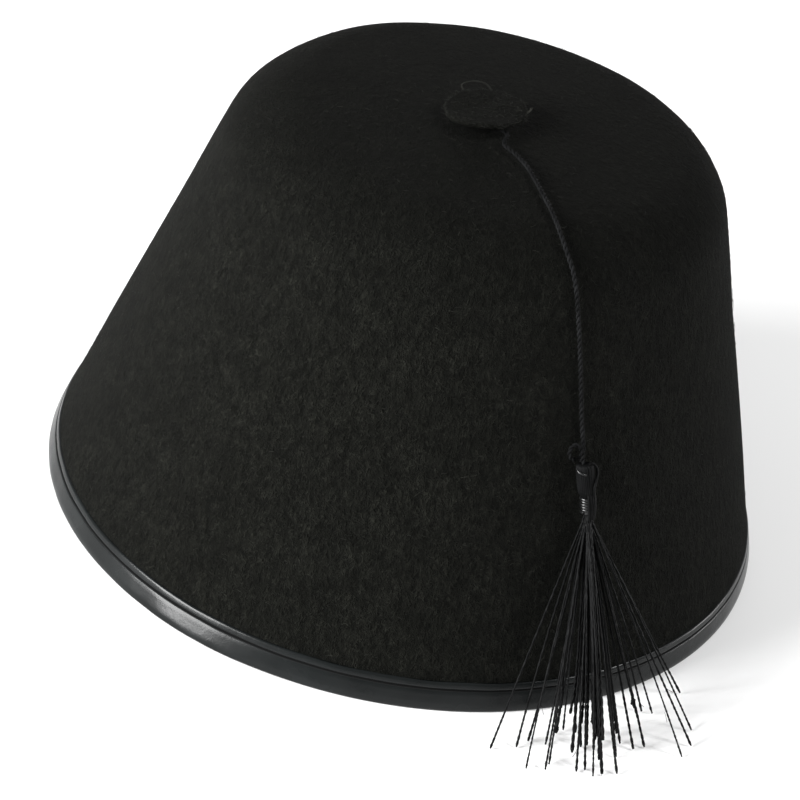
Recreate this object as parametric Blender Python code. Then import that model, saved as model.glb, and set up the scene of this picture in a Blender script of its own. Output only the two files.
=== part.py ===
"""Fez hat: a moulded felt crown with a bound edge, and a corded tassel hung from a felt button on its top.

Everything is in metres, +Z up. The hat stands on its bound edge at z = 0, with the head hollow open
downwards and its middle on the Z axis. X is the hat's width and Y its length, front to back.
"""

import math

import bmesh
import bpy
from mathutils import Matrix, Vector

# The crown, measured on the outside of the felt: a leaning wall, a round shoulder and a slightly domed top.
OVALITY = 1.05  # the hat's length over its width
BASE_RADIUS = 0.0943  # half the felt's width where the wall's line meets z = 0
WALL_LEAN = math.radians(17.37)
SHOULDER_RADIUS = 0.0205
DOME_RADIUS = 0.475
APEX_HEIGHT = 0.1135
FELT_THICKNESS = 0.002
GAP = 0.0003  # between pieces that touch
TURNED_STEPS = 80  # facets round the hat
SHOULDER_STEPS = 7
DOME_STEPS = 3

# The edge binding: a strip folded over the felt's edge, with a sewn groove between a narrow lip and a wider
# band. It squeezes the felt, so that it stands hardly further out than the wall above it.
FELT_PRESSED = 0.0009  # how far the felt's outside is squeezed in under the binding
BINDING_THICKNESS = 0.0009
BINDING_OUTER_HEIGHT = 0.0073
BINDING_INNER_HEIGHT = 0.0066
BINDING_FOLD_HEIGHT = 0.0024  # where the band starts to turn in towards its foot
BINDING_FOLD_STEPS = 3
GROOVE_HEIGHT = 0.0055
GROOVE_DEPTH = 0.0005
GROOVE_HALF_WIDTH = 0.0004

# The button: a felt disc on a narrower stitched foot, which lifts its edge off the crown.
BUTTON_RADIUS = 0.0101
BUTTON_THICKNESS = 0.0015
BUTTON_LIFT = 0.0019  # from the crown's apex to the disc's underside
BUTTON_FOOT_RADIUS = 0.0032
BUTTON_CENTRE = (0.0012, -0.0080)
BUTTON_EDGE_ROUNDING = 0.0005
BUTTON_STEPS = 32

# The cord's route: (turn round the crown in degrees from -Y towards +X, distance down it from its apex).
CORD_RADIUS = 0.0006
CORD_LIFT = CORD_RADIUS + GAP + 0.0001
CORD_POINTS = 60
CORD_ROUTE = (
    (27.0, 0.0103),
    (34.0, 0.0120),
    (38.6, 0.0142),
    (36.8, 0.0162),
    (33.9, 0.0178),
    (32.9, 0.0195),
    (35.0, 0.0213),
    (37.8, 0.0232),
    (39.7, 0.0260),
    (41.3, 0.0294),
    (41.7, 0.0357),
    (41.8, 0.0440),
    (42.0, 0.0520),
    (42.8, 0.0579),
    (43.9, 0.0625),
    (44.8, 0.0680),
    (46.1, 0.0768),
    (47.0, 0.0842),
    (47.9, 0.0931),
    (48.4, 0.0988),
    (48.7, 0.1031),
)

# The tassel lies against the wall along one straight line, given like the route's points.
TASSEL_TOP = (49.2, 0.1094)
TASSEL_NECK = (50.3, 0.1219)
TASSEL_LIFT = 0.0028  # from the wall to the tassel's own axis
KNOT_PLACE = (47.7, 0.1060)
KNOT_HALF_SIZES = (0.0015, 0.0020, 0.0026)  # out from the wall, across it and down it
KNOT_STEPS = (12, 8)
HEAD_RADIUS = 0.0024
HEAD_LENGTH = 0.0076
HEAD_ROUNDING = 0.0012
TIE_RADIUS = 0.0020
TIE_LENGTH = 0.0046
TIE_ROUNDING = 0.0004
ROUND_STEPS = 16

# The skirt's strands fan out from the neck to the surface that the hat stands on, in front of the rim.
SKIRT_FOOT_MIDDLE = (0.0847, -0.0707)
SKIRT_FOOT_TURN = math.radians(50.0)
SKIRT_FOOT_HALF_WIDTH = 0.0300
SKIRT_FOOT_HALF_DEPTH = 0.0110
SKIRT_FOOT_HEIGHT = 0.0005
SKIRT_STEPS = 24

FELT_BLACK = (0.011, 0.011, 0.010)
BINDING_BLACK = (0.018, 0.020, 0.022)
THREAD_BLACK = (0.010, 0.010, 0.011)


def clear_scene():
    for obj in list(bpy.data.objects):
        bpy.data.objects.remove(obj, do_unlink=True)


def material(name, colour, roughness, metallic=0.0):
    made = bpy.data.materials.new(name)
    made.use_nodes = True
    shader = made.node_tree.nodes["Principled BSDF"]
    shader.inputs["Base Color"].default_value = (*colour, 1.0)
    shader.inputs["Roughness"].default_value = roughness
    shader.inputs["Metallic"].default_value = metallic
    return made


def add_object(name, mesh_bm, finish, smooth_angle=math.radians(40)):
    """Links a new object made of the bmesh, shaded smooth, with that material."""
    bmesh.ops.recalc_face_normals(mesh_bm, faces=mesh_bm.faces)
    mesh = bpy.data.meshes.new(name)
    mesh_bm.to_mesh(mesh)
    mesh_bm.free()
    mesh.shade_smooth()
    mesh.set_sharp_from_angle(angle=smooth_angle)
    mesh.materials.append(finish)
    obj = bpy.data.objects.new(name, mesh)
    bpy.context.scene.collection.objects.link(obj)
    return obj


def wall_at(height, out):
    """(radius, height) of the point at that height, on the wall's line moved out squarely by that much."""
    return BASE_RADIUS + out / math.cos(WALL_LEAN) - height * math.tan(WALL_LEAN), height


def shoulder_centre():
    """(radius, height) of the shoulder arc's centre. The arc touches the wall's line and the dome."""
    lean_sin, lean_cos = math.sin(WALL_LEAN), math.cos(WALL_LEAN)
    dome_centre = APEX_HEIGHT - DOME_RADIUS
    # It is on the wall's line moved in, radius = foot - up * sin, and a set distance from the dome's centre.
    foot = wall_at(0, -SHOULDER_RADIUS)[0]
    half_b = foot * lean_sin + dome_centre * lean_cos
    rest = foot**2 + dome_centre**2 - (DOME_RADIUS - SHOULDER_RADIUS) ** 2
    up = half_b + math.sqrt(half_b**2 - rest)
    return foot - up * lean_sin, up * lean_cos


def crown_arcs():
    """(slope where the dome ends, the dome's length, the shoulder's length), along the crown's outside."""
    centre_r, centre_z = shoulder_centre()
    dome_slope = math.atan2(centre_r, centre_z - APEX_HEIGHT + DOME_RADIUS)
    shoulder_length = SHOULDER_RADIUS * (math.pi / 2 - WALL_LEAN - dome_slope)
    return dome_slope, DOME_RADIUS * dome_slope, shoulder_length


def crown_outline(down, out=0.0):
    """(radius, height, slope) at that distance down the outside from the apex, moved out along the normal.
    The slope is the normal's angle from the vertical."""
    centre_r, centre_z = shoulder_centre()
    dome_slope, dome_length, shoulder_length = crown_arcs()
    if down <= dome_length:
        slope = down / DOME_RADIUS
        radius = DOME_RADIUS * math.sin(slope)
        height = APEX_HEIGHT - DOME_RADIUS * (1 - math.cos(slope))
    else:
        slope = dome_slope + min(down - dome_length, shoulder_length) / SHOULDER_RADIUS
        past = max(down - dome_length - shoulder_length, 0.0)
        radius = centre_r + SHOULDER_RADIUS * math.sin(slope) + past * math.sin(WALL_LEAN)
        height = centre_z + SHOULDER_RADIUS * math.cos(slope) - past * math.cos(WALL_LEAN)
    return radius + out * math.sin(slope), height + out * math.cos(slope), slope


def crown_profile(out):
    """(radius, height) points from the apex down to where the shoulder meets the wall, at that offset."""
    dome_length, shoulder_length = crown_arcs()[1:]
    downs = [dome_length * i / DOME_STEPS for i in range(DOME_STEPS)]
    downs += [dome_length + shoulder_length * i / SHOULDER_STEPS for i in range(SHOULDER_STEPS + 1)]
    return [crown_outline(down, out)[:2] for down in downs]


def on_crown(turn, down, lift):
    """The point over the crown's outside at that turn in degrees and distance down, lifted squarely."""
    radius, height, slope = crown_outline(down)
    side, front = math.sin(math.radians(turn)), -math.cos(math.radians(turn))
    normal = Vector((math.sin(slope) * side, math.sin(slope) * front / OVALITY, math.cos(slope)))
    return Vector((radius * side, OVALITY * radius * front, height)) + normal.normalized() * lift


def turned(profile, steps, centre=(0.0, 0.0), ovality=OVALITY):
    """A bmesh of the closed (radius, height) profile turned round the Z axis, then stretched along Y."""
    made = bmesh.new()
    ring = [made.verts.new((radius, 0, height)) for radius, height in profile]
    edges = [made.edges.new((a, b)) for a, b in zip(ring, ring[1:])]
    if min(profile[0][0], profile[-1][0]) > GAP:
        edges.append(made.edges.new((ring[-1], ring[0])))
    bmesh.ops.spin(
        made, geom=ring + edges, cent=(0, 0, 0), axis=(0, 0, 1), angle=math.tau, steps=steps, use_merge=True
    )
    bmesh.ops.remove_doubles(made, verts=made.verts, dist=1e-6)
    bmesh.ops.scale(made, vec=(1, ovality, 1), verts=made.verts)
    bmesh.ops.translate(made, vec=(*centre, 0), verts=made.verts)
    return made


def make_crown(felt):
    """One felt wall from the open edge, over the top and back inside, thinner where the binding grips it."""
    edge = BINDING_THICKNESS + GAP
    grip = BINDING_OUTER_HEIGHT + GAP
    outside = crown_profile(0.0)
    squeezed = [wall_at(grip, 0), wall_at(grip, -FELT_PRESSED), wall_at(edge, -FELT_PRESSED)]
    inside = crown_profile(-FELT_THICKNESS)
    profile = outside + squeezed + [wall_at(edge, -FELT_THICKNESS)] + inside[::-1]
    return add_object("crown", turned(profile, TURNED_STEPS), felt)


def make_edge_binding(vinyl):
    """The folded strip: a lip, a groove and a flat band outside, a flat foot, and a plain leg inside."""
    thick = BINDING_THICKNESS
    felt_outside = GAP - FELT_PRESSED
    felt_inside = -FELT_THICKNESS - GAP
    face = felt_outside + thick
    outside = [
        wall_at(BINDING_OUTER_HEIGHT, felt_outside),
        wall_at(BINDING_OUTER_HEIGHT, felt_outside + thick / 2),
        wall_at(BINDING_OUTER_HEIGHT - thick / 2, face),
        wall_at(GROOVE_HEIGHT + GROOVE_HALF_WIDTH, face),
        wall_at(GROOVE_HEIGHT, face - GROOVE_DEPTH),
        wall_at(GROOVE_HEIGHT - GROOVE_HALF_WIDTH, face),
    ]
    # The band's lower edge is a quarter of an oval that ends on the foot.
    for i in range(BINDING_FOLD_STEPS + 1):
        angle = math.pi / 2 * i / BINDING_FOLD_STEPS
        height = BINDING_FOLD_HEIGHT * (1 - math.sin(angle))
        outside.append(wall_at(height, felt_outside + thick * math.cos(angle)))
    inside = [
        wall_at(0, felt_inside),
        wall_at(thick / 2, felt_inside - thick),
        wall_at(BINDING_INNER_HEIGHT, felt_inside - thick),
        wall_at(BINDING_INNER_HEIGHT, felt_inside),
        wall_at(thick, felt_inside),
        wall_at(thick, felt_outside),
    ]
    return add_object("edge_binding", turned(outside + inside, TURNED_STEPS), vinyl)


def make_top_button(felt):
    """A disc with a rounded edge over a narrower foot, turned in one piece."""
    under = APEX_HEIGHT + BUTTON_LIFT
    top = under + BUTTON_THICKNESS
    rounding = BUTTON_EDGE_ROUNDING
    profile = [
        (0.0, top),
        (BUTTON_RADIUS - rounding, top),
        (BUTTON_RADIUS, top - rounding),
        (BUTTON_RADIUS, under + rounding),
        (BUTTON_RADIUS - rounding, under),
        (BUTTON_FOOT_RADIUS, under),
        (BUTTON_FOOT_RADIUS, APEX_HEIGHT + GAP),
        (0.0, APEX_HEIGHT + GAP),
    ]
    disc = turned(profile, BUTTON_STEPS, centre=BUTTON_CENTRE, ovality=1.0)
    return add_object("top_button", disc, felt)


def smooth_route(route, count):
    """That many (turn, down) pairs along a Catmull-Rom curve through the route's own, evenly by span."""
    first = tuple(2 * a - b for a, b in zip(route[0], route[1]))
    last = tuple(2 * a - b for a, b in zip(route[-1], route[-2]))
    ends = [first, *route, last]
    spans = len(route) - 1
    points = []
    for i in range(count):
        at = spans * i / (count - 1)
        span = min(int(at), spans - 1)
        t = at - span
        point = []
        for before, start, end, after in zip(*ends[span : span + 4]):
            bend = 2 * before - 5 * start + 4 * end - after
            twist = 3 * start - before - 3 * end + after
            point.append(start + ((end - before) * t + bend * t**2 + twist * t**3) / 2)
        points.append(point)
    return points


def make_tassel_cord(thread):
    """A round tube that lies on the crown all the way along its route."""
    curve = bpy.data.curves.new("tassel_cord", "CURVE")
    curve.dimensions = "3D"
    curve.bevel_depth = CORD_RADIUS
    curve.bevel_resolution = 2
    curve.use_fill_caps = True
    spline = curve.splines.new("POLY")
    spline.points.add(CORD_POINTS - 1)
    for point, (turn, down) in zip(spline.points, smooth_route(CORD_ROUTE, CORD_POINTS)):
        point.co = (*on_crown(turn, down, CORD_LIFT), 1.0)
    spline.use_smooth = True
    curve.materials.append(thread)
    obj = bpy.data.objects.new("tassel_cord", curve)
    bpy.context.scene.collection.objects.link(obj)
    return obj


def upright_on(place, out, down):
    """The matrix that carries a shape's X to out, and its Z to the opposite of down, at that place."""
    out = (out - out.dot(down) * down).normalized()
    axes = Matrix((out, out.cross(down), -down)).transposed()
    return Matrix.Translation(place) @ axes.to_4x4()


def tassel_axis():
    """(top point, unit direction towards the neck) of the tassel's straight part."""
    top = on_crown(*TASSEL_TOP, TASSEL_LIFT)
    return top, (on_crown(*TASSEL_NECK, TASSEL_LIFT) - top).normalized()


def barrel(start, length, radius, rounding):
    """A bmesh of a round bar down the tassel's axis from start, with both ends rounded off by that much."""
    end = start + length
    cut = rounding * (1 - math.sqrt(0.5))
    near = [(0.0, start), (radius - rounding, start), (radius - cut, start + cut), (radius, start + rounding)]
    far = [(radius, end - rounding), (radius - cut, end - cut), (radius - rounding, end), (0.0, end)]
    made = turned([(around, -along) for around, along in near + far], ROUND_STEPS, ovality=1.0)
    top, down = tassel_axis()
    out = top - on_crown(*TASSEL_TOP, 0.0)
    bmesh.ops.transform(made, matrix=upright_on(top, out, down), verts=made.verts)
    return made


def make_cord_knot(thread):
    """A small flattened ball where the cord is looped and knotted."""
    made = bmesh.new()
    segments, rings = KNOT_STEPS
    bmesh.ops.create_uvsphere(made, u_segments=segments, v_segments=rings, radius=1.0)
    bmesh.ops.scale(made, vec=KNOT_HALF_SIZES, verts=made.verts)
    place = on_crown(*KNOT_PLACE, KNOT_HALF_SIZES[0] + GAP)
    out = place - on_crown(*KNOT_PLACE, 0.0)
    bmesh.ops.transform(made, matrix=upright_on(place, out, tassel_axis()[1]), verts=made.verts)
    return add_object("cord_knot", made, thread)


def make_tassel_head(thread):
    """The folded threads' bundle."""
    return add_object("tassel_head", barrel(0.0, HEAD_LENGTH, HEAD_RADIUS, HEAD_ROUNDING), thread)


def make_tassel_tie(thread):
    """The wrapped neck below the head."""
    return add_object("tassel_tie", barrel(HEAD_LENGTH + GAP, TIE_LENGTH, TIE_RADIUS, TIE_ROUNDING), thread)


def make_tassel_skirt(thread):
    """The outer form of the spread strands: round at the neck, a long flat oval where it meets the ground."""
    top, down = tassel_axis()
    neck = top + down * (HEAD_LENGTH + TIE_LENGTH + 2 * GAP)
    foot = Vector((*SKIRT_FOOT_MIDDLE, SKIRT_FOOT_HEIGHT))
    across = Vector((math.cos(SKIRT_FOOT_TURN), math.sin(SKIRT_FOOT_TURN), 0))
    outwards = Vector((math.sin(SKIRT_FOOT_TURN), -math.cos(SKIRT_FOOT_TURN), 0))
    sections = (
        (neck, down.cross(across).normalized(), TIE_RADIUS, TIE_RADIUS),
        (foot, outwards, SKIRT_FOOT_HALF_WIDTH, SKIRT_FOOT_HALF_DEPTH),
    )
    made = bmesh.new()
    edges = []
    for middle, deep, half_wide, half_deep in sections:
        ring = []
        for i in range(SKIRT_STEPS):
            angle = math.tau * i / SKIRT_STEPS
            side = across * half_wide * math.cos(angle)
            ring.append(made.verts.new(middle + side + deep * half_deep * math.sin(angle)))
        edges += [made.edges.new((ring[i - 1], ring[i])) for i in range(SKIRT_STEPS)]
        made.faces.new(ring)
    bmesh.ops.bridge_loops(made, edges=edges)
    return add_object("tassel_skirt", made, thread)


def main():
    clear_scene()
    felt = material("felt", FELT_BLACK, 0.95)
    vinyl = material("vinyl", BINDING_BLACK, 0.35)
    thread = material("thread", THREAD_BLACK, 0.5)
    make_crown(felt)
    make_edge_binding(vinyl)
    make_top_button(felt)
    make_tassel_cord(thread)
    make_cord_knot(thread)
    make_tassel_head(thread)
    make_tassel_tie(thread)
    make_tassel_skirt(thread)


main()
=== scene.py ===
"""Fez hat: the looks of its felt crown, vinyl edge, felt button and corded tassel, built round the frame.

Everything is in metres, +Z up, in the frame's own place. Turns are degrees round the hat from -Y towards +X.
"""

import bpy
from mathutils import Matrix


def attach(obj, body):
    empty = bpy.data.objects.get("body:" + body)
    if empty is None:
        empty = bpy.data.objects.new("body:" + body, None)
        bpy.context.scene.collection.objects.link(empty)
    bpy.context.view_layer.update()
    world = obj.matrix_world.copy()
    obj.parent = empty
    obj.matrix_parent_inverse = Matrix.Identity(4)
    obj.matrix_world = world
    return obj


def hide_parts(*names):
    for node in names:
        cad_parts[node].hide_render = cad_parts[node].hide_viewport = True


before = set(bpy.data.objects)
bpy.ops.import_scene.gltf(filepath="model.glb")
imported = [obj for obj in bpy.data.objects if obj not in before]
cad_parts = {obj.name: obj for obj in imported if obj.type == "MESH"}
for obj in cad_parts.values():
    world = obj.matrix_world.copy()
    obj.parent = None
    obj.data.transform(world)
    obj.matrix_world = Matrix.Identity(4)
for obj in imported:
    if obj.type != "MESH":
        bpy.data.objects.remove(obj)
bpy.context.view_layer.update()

import math
import random

import bmesh
import bpy
from bpy.props import FloatProperty, FloatVectorProperty, IntProperty, PointerProperty
from mathutils import Matrix, Quaternion, Vector, noise

bl_info = {
    "name": "Fez Hat",
    "version": (1, 0, 0),
    "blender": (4, 5, 0),
    "location": "3D View > Sidebar > Fez",
    "description": "Makes a felt fez with a bound edge, a felt button and a corded tassel",
    "category": "Add Mesh",
}

# The crown's outside, as the frame has it.
OVALITY = 1.05
BASE_RADIUS = 0.0943
WALL_LEAN = math.radians(17.37)
SHOULDER_RADIUS = 0.0205
DOME_RADIUS = 0.475
APEX_HEIGHT = 0.1135
GAP = 0.0003

# The crown's mesh, and how uneven the moulded felt is.
CROWN_STEPS = 240
DOME_STEPS = 14
SHOULDER_STEPS = 12
WALL_STEPS = 32
UNEVEN_LENGTH = 0.022
NOISE_SEED = 4  # noise vectors start somewhere new on each run without it
RIM_FADE = (0.010, 0.030)
TOP_SHADE_HEIGHTS = (0.088, 0.112)  # from the lower height to the upper one the felt's paler fibres fade to 0.55 of their tone: painted shade that darkens the top
DIMPLE_DEPTH = 0.0005
DIMPLE_RADIUS = 0.012

# The edge binding, as the frame has it: it squeezes the felt, and stands hardly further out than the wall.
FELT_PRESSED = 0.0009
BINDING_THICKNESS = 0.0009
BINDING_OUTER_HEIGHT = 0.0073
BINDING_INNER_HEIGHT = 0.0066
BINDING_FOLD_HEIGHT = 0.0024
GROOVE_HEIGHT = 0.0055
GROOVE_DEPTH = 0.00042
BINDING_STEPS = 420
# Left of the front the sewn strip flares at its foot: (turn, how far it spreads, how far it stands out).
BINDING_FLARE = (-8.0, 14.0, 0.00052)
LIP_WAVE = 0.00022  # how far the hand-sewn lip wanders up and down
FACE_WAVE = 0.0001  # and how far the strip's face wanders in and out
# The lip's outer face and the groove: (distance below the groove, share of the groove's depth).
LIP_AND_GROOVE = (
    (-0.0011, 0.1), (-0.0007, 0.0), (-0.0004, 0.08), (-0.00022, 0.45), (-0.0001, 0.95),
    (0.0001, 1.0), (0.00018, 0.5), (0.00028, 0.12), (0.0005, 0.0), (0.0014, 0.0),
)

# The button.
BUTTON_CENTRE = (0.0012, -0.0080)
BUTTON_RADIUS = 0.0101
BUTTON_LIFT = 0.0019
BUTTON_THICKNESS = 0.0015
BUTTON_FOOT_RADIUS = 0.0032
BUTTON_STEPS = 96
# The hand-cut disc is longer one way (x, y of that way) than across it, in shares of its size, and it slopes
# (rise per metre in x and in y).
BUTTON_LONG_WAY = Vector((0.316, 0.949))
BUTTON_STRETCH = (0.08, -0.05)
BUTTON_SLOPE = Vector((0.067, 0.021))
# Wisps that stand off its edge, as points from its middle.
BUTTON_WISPS = (
    (
        (-0.0084, 0.0049, 0.0010), (-0.0094, 0.0059, 0.0018), (-0.0072, 0.0081, 0.0027),
        (-0.0045, 0.0094, 0.0025), (-0.0026, 0.0093, 0.0014),
    ),
    ((0.0091, 0.0044, 0.0012), (0.0096, 0.0051, 0.0018), (0.0096, 0.0059, 0.0023)),
)
WISP_HAIRS = 5
WISP_SPREAD = 0.00025
EDGE_FIBRES = 420
TOP_FIBRES = 160

# The cord's route, as the frame has it: (turn, distance down the crown from its apex).
CORD_LIFT = 0.0010
CORD_PLY_TURN = 0.0030
CORD_ROUTE = (
    (27.0, 0.0103), (34.0, 0.0120), (38.6, 0.0142), (36.8, 0.0162), (33.9, 0.0178),
    (32.9, 0.0195), (35.0, 0.0213), (37.8, 0.0232), (39.7, 0.0260), (41.3, 0.0294),
    (41.7, 0.0357), (41.8, 0.0440), (42.0, 0.0520), (42.8, 0.0579), (43.9, 0.0625),
    (44.8, 0.0680), (46.1, 0.0768), (47.0, 0.0842), (47.9, 0.0931), (48.4, 0.0988),
    (48.7, 0.1031),
)

# The tassel's straight part, its head and its wrapped neck, placed as the cord's route is.
TASSEL_TOP = (49.2, 0.1094)
TASSEL_NECK = (50.3, 0.1219)
TASSEL_LIFT = 0.0028
HEAD_LENGTH = 0.0076
HEAD_RADIUS = 0.00225
HEAD_THREADS = 30
HEAD_SHIFT = -0.0003  # the head sits this far left of the tassel's axis at its top
# The head's side: (share of its length down, share of its radius).
HEAD_OUTLINE = (
    (1.06, 0.60), (0.95, 0.78), (0.85, 0.93), (0.60, 1.00), (0.30, 1.01),
    (0.10, 1.00), (0.01, 0.92), (-0.02, 0.72), (0.0, 0.35), (0.04, 0.10),
)
# A loose thread over the head's right shoulder: (distance down, turn from out towards right, radius).
HEAD_LOOP = (
    (0.0003, 10.0, 0.0008), (-0.0005, 40.0, 0.0013), (-0.0001, 58.0, 0.0020),
    (0.0009, 62.0, 0.0026), (0.0022, 58.0, 0.0027), (0.0037, 40.0, 0.0025),
    (0.0052, 22.0, 0.0024), (0.0070, 26.0, 0.0021), (0.0088, 36.0, 0.0019),
)
HEAD_LOOP_RADIUS = 0.00034
TIE_LENGTH = 0.0046
TIE_RADIUS = 0.00175
TIE_TURNS = 5.5
# The wrapping thread also catches over the head's left shoulder: (distance down, turn, out from the head).
TIE_CATCH = (
    (0.0003, -95.0, -0.0002),
    (0.0009, -72.0, 0.0001),
    (0.0014, -45.0, 0.0001),
    (0.0018, -22.0, -0.0002),
)
CATCH_RADIUS = 0.00028
# Threads that leave the head on its right and run straight down over the wrapped neck: their turns, and their
# line as (share of the neck's length down, out from the wrapping).
NECK_THREADS = (-18.0, -2.0, 14.0, 30.0, 46.0, 61.0)
NECK_LINE = ((-0.25, -0.0003), (0.1, 0.00015), (0.5, 0.00022), (0.9, 0.00015), (1.3, -0.0002))
NECK_THREAD_RADIUS = 0.00030
# Where each strand's tip stands on the ground: (X, Y, how many threads cling together).
STRAND_TIPS = (
    (0.0635, -0.0910, 1), (0.0685, -0.0865, 1), (0.0700, -0.0825, 1), (0.0735, -0.0925, 1),
    (0.0775, -0.0900, 1), (0.0740, -0.0810, 1), (0.0775, -0.0875, 1), (0.0745, -0.0755, 2),
    (0.0755, -0.0730, 1), (0.0805, -0.0800, 3), (0.0840, -0.0860, 1), (0.0815, -0.0765, 1),
    (0.0855, -0.0840, 1), (0.0825, -0.0750, 2), (0.0880, -0.0850, 1), (0.0845, -0.0755, 3),
    (0.0895, -0.0830, 5), (0.0925, -0.0805, 1), (0.0870, -0.0660, 3), (0.0900, -0.0745, 1),
    (0.0890, -0.0690, 1), (0.0925, -0.0690, 1), (0.0945, -0.0665, 2), (0.0890, -0.0535, 1),
    (0.0915, -0.0525, 1), (0.0870, -0.0535, 1), (0.1035, -0.0640, 1), (0.1020, -0.0525, 1),
    (0.1040, -0.0585, 1), (0.0945, -0.0400, 1),
)
# A few strands have a thread knotted on itself: (number of the tip, share of the way down).
STRAND_KNOTS = ((7, 0.985), (15, 0.87), (18, 0.93), (18, 0.97), (25, 0.97))
SKIRT_MIDDLE = Vector((0.0847, -0.0707, 0.0))
SKIRT_TURN = math.radians(50.0)
STRAND_TWIST = 5  # a ply goes once round in this many thicknesses of its strand
STRAND_BOW = 0.0006
STRAND_PARTING = 0.7  # past this share of their length, strands that cling together part
STRAND_STEPS = 46
STRAND_END = (1.1, 1.2, 1.15, 0.8)  # the last steps' thickness, swollen and then closed
SNARL_STEPS = 15
SNARL_RADIUS = 0.0004
SNARL_THREAD = 0.0003
# Fine broken fibres on the strands.
STRAND_HAIRS = 30
HAIR_STEPS = 6
HAIR_STEP = 0.0005
HAIR_RADIUS = 0.00005

# The felt's loose fibres, each a bent three-sided hair, and how far down the straight wall they lie.
FIBRE_KINDS = 9
FIBRE_RADIUS = 0.000036
FIBRE_STEPS = 4
FIBRE_STEP = 0.0005
FUZZY_WALL = 0.094

# The camera.
CAMERA_TARGET = Vector((-0.0056, -0.00175, 0.0249))
CAMERA_AZIMUTH = math.radians(17.317)
CAMERA_ELEVATION = math.radians(31.316)
CAMERA_ROLL = math.radians(12.919)
CAMERA_DISTANCE = 0.7905
CAMERA_LENS = 135.0

# The lights, which all face one point: (name, azimuth, elevation, distance, size, power).
LIGHTS_AIM = Vector((0.0, 0.0, 0.06))
LIGHTS = (
    ("left_softbox", -39.0, 16.0, 1.3, 0.8, 54.0),
    ("right_softbox", 112.0, 45.0, 1.4, 0.35, 11.0),
    ("low_right_lamp", 130.0, 6.0, 1.2, 0.4, 6.0),
    ("rear_softbox", 200.0, 14.0, 1.5, 0.8, 5.0),
)
WORLD_STRENGTH = 0.3
FLOOR_RADIUS = 4.0


def length_setting(name, description, default):
    return FloatProperty(name=name, description=description, default=default, unit="LENGTH")


def colour_setting(name, description, default):
    return FloatVectorProperty(name=name, description=description, subtype="COLOR", size=3, default=default)


class FezSizes(bpy.types.PropertyGroup):
    """Sizes that a user would change."""

    felt_thickness: length_setting("Felt thickness", "Thickness of the crown's felt", 0.002)
    felt_unevenness: length_setting("Felt unevenness", "How far the moulded felt strays", 0.0003)
    cord_diameter: length_setting("Cord diameter", "Thickness of the twisted cord", 0.0012)
    thread_diameter: length_setting("Thread diameter", "Thickness of one tassel thread", 0.00062)
    fuzz_count: IntProperty(
        name="Fuzz", description="How many loose fibres the crown has", default=7800, min=0, max=8000
    )


class FezColours(bpy.types.PropertyGroup):
    """Colours that a user would change."""

    felt: colour_setting("Felt", "Colour of the felt", (0.0031, 0.0033, 0.0026))
    fibre: colour_setting("Fibre", "Colour of the felt's paler fibres", (0.0200, 0.0207, 0.0168))
    vinyl: colour_setting("Vinyl", "Colour of the strip round the edge", (0.0050, 0.0059, 0.0060))
    thread: colour_setting("Thread", "Colour of the cord and the tassel", (0.0025, 0.0026, 0.0027))
    floor: colour_setting("Floor", "Colour of the floor", (0.95, 0.95, 0.95))


# ---- the crown's form ----


def wall_at(height, out):
    """(radius, height) of the point at that height, on the wall's line moved out squarely by that much."""
    return BASE_RADIUS + out / math.cos(WALL_LEAN) - height * math.tan(WALL_LEAN), height


def shoulder_centre():
    """(radius, height) of the shoulder arc's centre. The arc touches the wall's line and the dome."""
    lean_sin, lean_cos = math.sin(WALL_LEAN), math.cos(WALL_LEAN)
    dome_centre = APEX_HEIGHT - DOME_RADIUS
    foot = wall_at(0, -SHOULDER_RADIUS)[0]
    half_b = foot * lean_sin + dome_centre * lean_cos
    rest = foot**2 + dome_centre**2 - (DOME_RADIUS - SHOULDER_RADIUS) ** 2
    up = half_b + math.sqrt(half_b**2 - rest)
    return foot - up * lean_sin, up * lean_cos


def crown_arcs():
    """(slope where the dome ends, the dome's length, the shoulder's length), along the crown's outside."""
    centre_r, centre_z = shoulder_centre()
    dome_slope = math.atan2(centre_r, centre_z - APEX_HEIGHT + DOME_RADIUS)
    shoulder_length = SHOULDER_RADIUS * (math.pi / 2 - WALL_LEAN - dome_slope)
    return dome_slope, DOME_RADIUS * dome_slope, shoulder_length


def crown_outline(down, out=0.0):
    """(radius, height, slope) at that distance down the outside from the apex, moved out along the normal."""
    centre_r, centre_z = shoulder_centre()
    dome_slope, dome_length, shoulder_length = crown_arcs()
    if down <= dome_length:
        slope = down / DOME_RADIUS
        radius = DOME_RADIUS * math.sin(slope)
        height = APEX_HEIGHT - DOME_RADIUS * (1 - math.cos(slope))
    else:
        slope = dome_slope + min(down - dome_length, shoulder_length) / SHOULDER_RADIUS
        past = max(down - dome_length - shoulder_length, 0.0)
        radius = centre_r + SHOULDER_RADIUS * math.sin(slope) + past * math.sin(WALL_LEAN)
        height = centre_z + SHOULDER_RADIUS * math.cos(slope) - past * math.cos(WALL_LEAN)
    return radius + out * math.sin(slope), height + out * math.cos(slope), slope


def crown_normal(turn, down):
    slope = crown_outline(down)[2]
    side, front = math.sin(math.radians(turn)), -math.cos(math.radians(turn))
    return Vector((math.sin(slope) * side, math.sin(slope) * front / OVALITY, math.cos(slope))).normalized()


def on_crown(turn, down, lift):
    """The point over the crown's outside at that turn and distance down, lifted squarely."""
    radius, height, slope = crown_outline(down)
    side, front = math.sin(math.radians(turn)), -math.cos(math.radians(turn))
    return Vector((radius * side, OVALITY * radius * front, height)) + crown_normal(turn, down) * lift


def tassel_axis():
    """(top point, unit direction towards the neck, unit direction out of the wall) of its straight part."""
    top = on_crown(*TASSEL_TOP, TASSEL_LIFT)
    down = (on_crown(*TASSEL_NECK, TASSEL_LIFT) - top).normalized()
    out = crown_normal(*TASSEL_TOP)
    return top, down, (out - out.dot(down) * down).normalized()


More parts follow.
